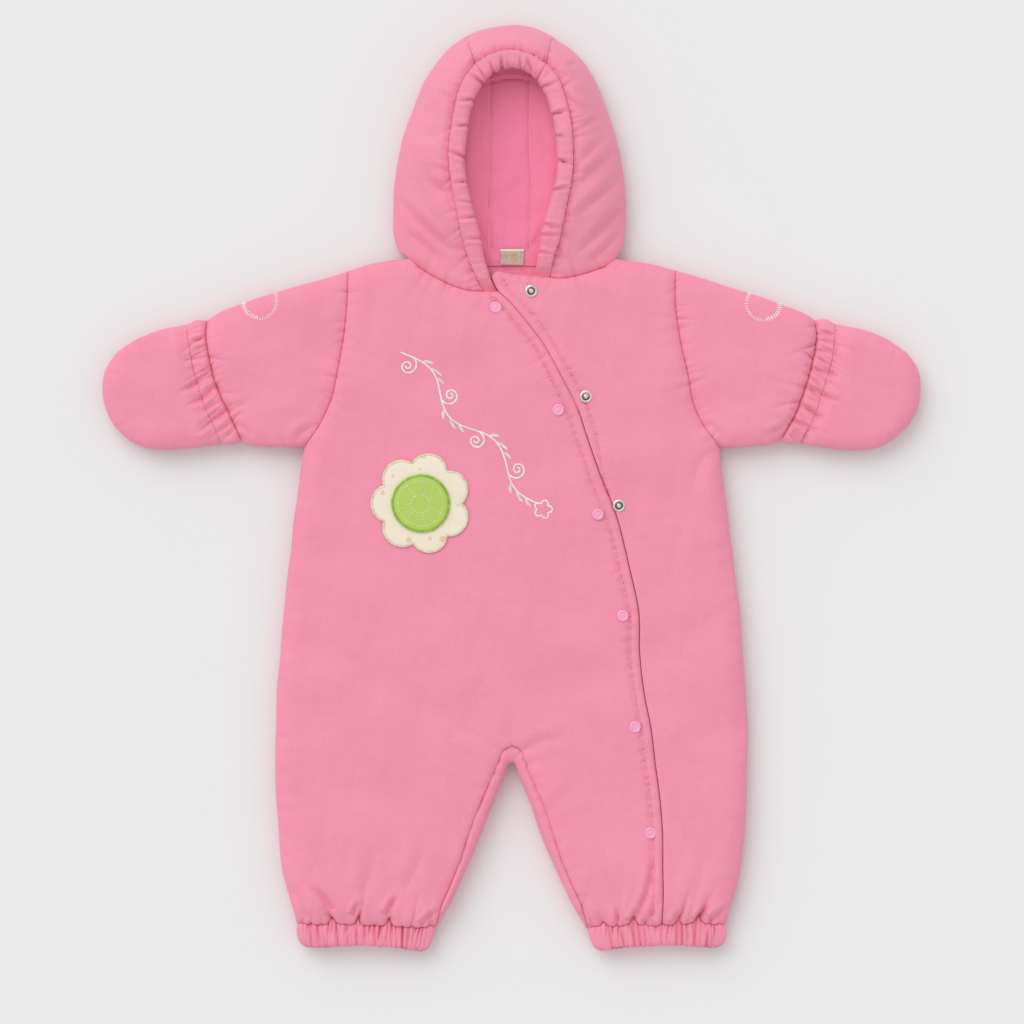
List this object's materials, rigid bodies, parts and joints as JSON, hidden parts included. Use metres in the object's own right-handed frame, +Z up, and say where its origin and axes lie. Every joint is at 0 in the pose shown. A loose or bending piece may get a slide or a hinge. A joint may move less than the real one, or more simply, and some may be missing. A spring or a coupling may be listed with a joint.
{
  "type": "baby padded hooded pram suit laid flat",
  "caption": "One-piece padded suit for a baby, laid flat on its back with its arms out: hood with a padded edge, fold-over mittens, gathered ankles and a slanting snap closure.",
  "frame": {"origin": "middle of the suit's footprint, on the surface that it lies on", "axes": "+X to the wearer's left sleeve, +Y from the ankles to the hood, +Z up from the surface"},
  "size_m": [0.6542, 0.7399, 0.0484],
  "materials": {
    "padded_cloth": "matt peach-skin polyester over wadding",
    "lining_cloth": "matt polyester lining",
    "cream_cotton": "plain cotton with small pastel dots",
    "green_felt": "brushed fleece with a satin-stitched edge",
    "label_tape": "woven satin tape",
    "snap_plastic": "glossy moulded cap",
    "snap_steel": "polished nickel-plated steel"
  },
  "bodies": {
    "root": {"back": "padded_cloth", "front_right": "padded_cloth", "front_left": "padded_cloth", "leg_gusset": "padded_cloth", "sleeve_right": "padded_cloth", "wrist_band_right": "padded_cloth", "mitten_back_right": "padded_cloth", "mitten_palm_right": "padded_cloth", "ankle_cuff_right": "padded_cloth", "hood_side_right": "padded_cloth", "hood_edge_right": "padded_cloth", "sleeve_left": "padded_cloth", "wrist_band_left": "padded_cloth", "mitten_back_left": "padded_cloth", "mitten_palm_left": "padded_cloth", "ankle_cuff_left": "padded_cloth", "hood_side_left": "padded_cloth", "hood_edge_left": "padded_cloth", "hood_centre": "padded_cloth", "hood_edge_top": "padded_cloth", "hood_lining_right": "lining_cloth", "hood_lining_left": "lining_cloth", "hood_lining_centre": "lining_cloth", "flower_petals": "cream_cotton", "flower_disc": "green_felt", "neck_label": "label_tape", "snap_cap_1": "snap_plastic", "snap_cap_2": "snap_plastic", "snap_cap_3": "snap_plastic", "snap_cap_4": "snap_plastic", "snap_cap_5": "snap_plastic", "snap_cap_6": "snap_plastic", "snap_stud_1": "snap_steel", "snap_stud_2": "snap_steel", "snap_stud_3": "snap_steel"}
  },
  "joints": []
}
